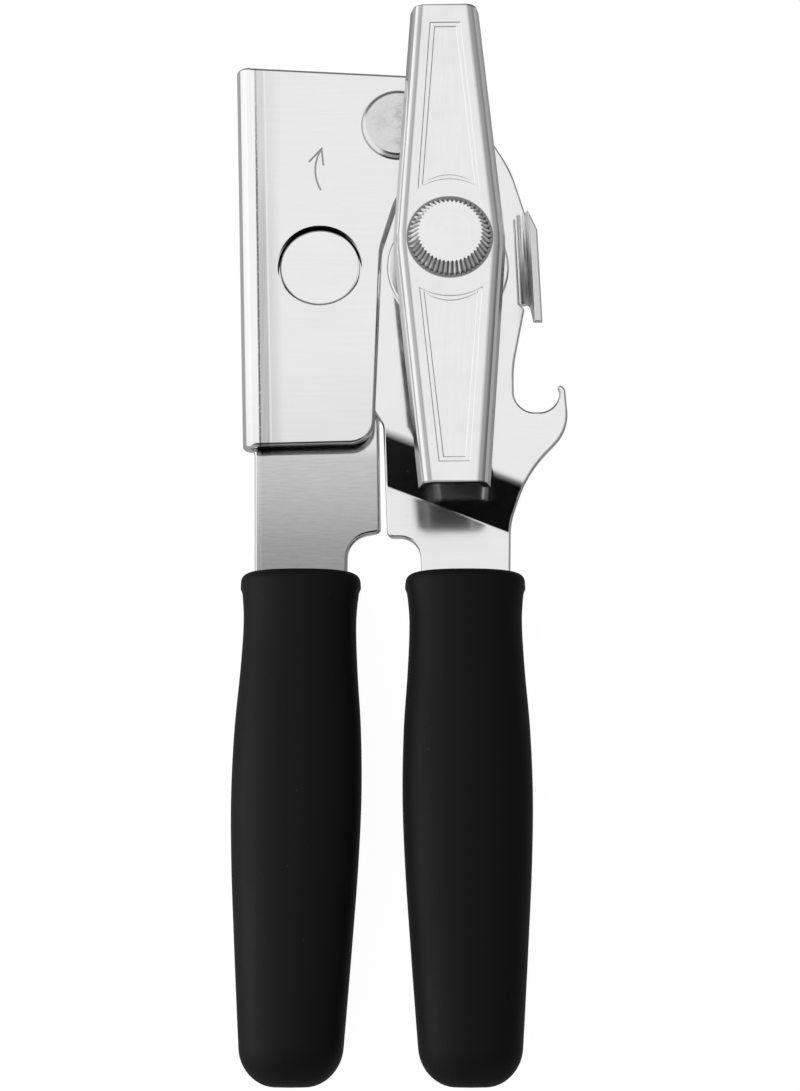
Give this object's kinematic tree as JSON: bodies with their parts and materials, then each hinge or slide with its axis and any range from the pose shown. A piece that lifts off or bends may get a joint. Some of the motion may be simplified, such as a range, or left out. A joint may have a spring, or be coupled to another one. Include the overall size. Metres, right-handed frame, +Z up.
{
  "type": "manual can opener",
  "caption": "Geared hand can opener with two black handles joined by a rivet, a channel-section crank, meshed drive and cutter wheels, a guide tab and a cap-lifter hook.",
  "frame": {"origin": "centre of the footprint on the surface it lies on, under the handles' plane", "axes": "+Y along the handles towards the head, +X across them from the cutter side to the drive side, +Z up through the crank's axis"},
  "size_m": [0.057, 0.1793, 0.0272],
  "materials": {
    "plated_steel": "nickel-plated sheet, polished with a faint cross brushing",
    "bright_plate": "bright nickel plate, softly polished",
    "turned_steel": "turned steel, fine rings",
    "gear_steel": "sintered steel, dull and lightly oiled",
    "tool_steel": "hardened and ground",
    "grip_black": "soft matt vinyl with a very fine grain"
  },
  "bodies": {
    "cutter_side": {"cutter_frame": "plated_steel", "left_grip": "grip_black", "pivot_rivet": "bright_plate", "pivot_washer": "turned_steel", "cutter_stud": "bright_plate", "cutter_thrust_washer": "turned_steel", "cutter_end_washer": "turned_steel"},
    "cutter_set": {"cutter_gear": "gear_steel", "cutter_wheel": "tool_steel", "cutter_hub": "gear_steel"},
    "drive_side": {"drive_frame": "plated_steel", "right_grip": "grip_black", "shaft_bushing": "plated_steel"},
    "crank_set": {"crank_handle": "bright_plate", "drive_spindle": "bright_plate", "crank_spacer": "turned_steel", "spring_washer": "turned_steel", "drive_gear": "gear_steel", "feed_wheel": "tool_steel", "spindle_end_washer": "turned_steel"}
  },
  "joints": [
    {"name": "handle_pivot", "type": "hinge", "parent": "cutter_side", "child": "drive_side", "pos_m": [-0.0001, 0.07335, 0.0087], "axis": [0, 0, 1], "range_deg": [0, 45]},
    {"name": "crank_spin", "type": "hinge", "parent": "drive_side", "child": "crank_set", "pos_m": [0.0084, 0.0476, 0.0087], "axis": [0, 0, 1], "continuous": true},
    {"name": "cutter_spin", "type": "hinge", "parent": "cutter_side", "child": "cutter_set", "pos_m": [-0.0136, 0.0476, 0.003], "axis": [0, 0, 1], "continuous": true}
  ],
  "couplings": [
    {"joint": "cutter_spin", "follows": "crank_spin", "ratio": -1}
  ]
}
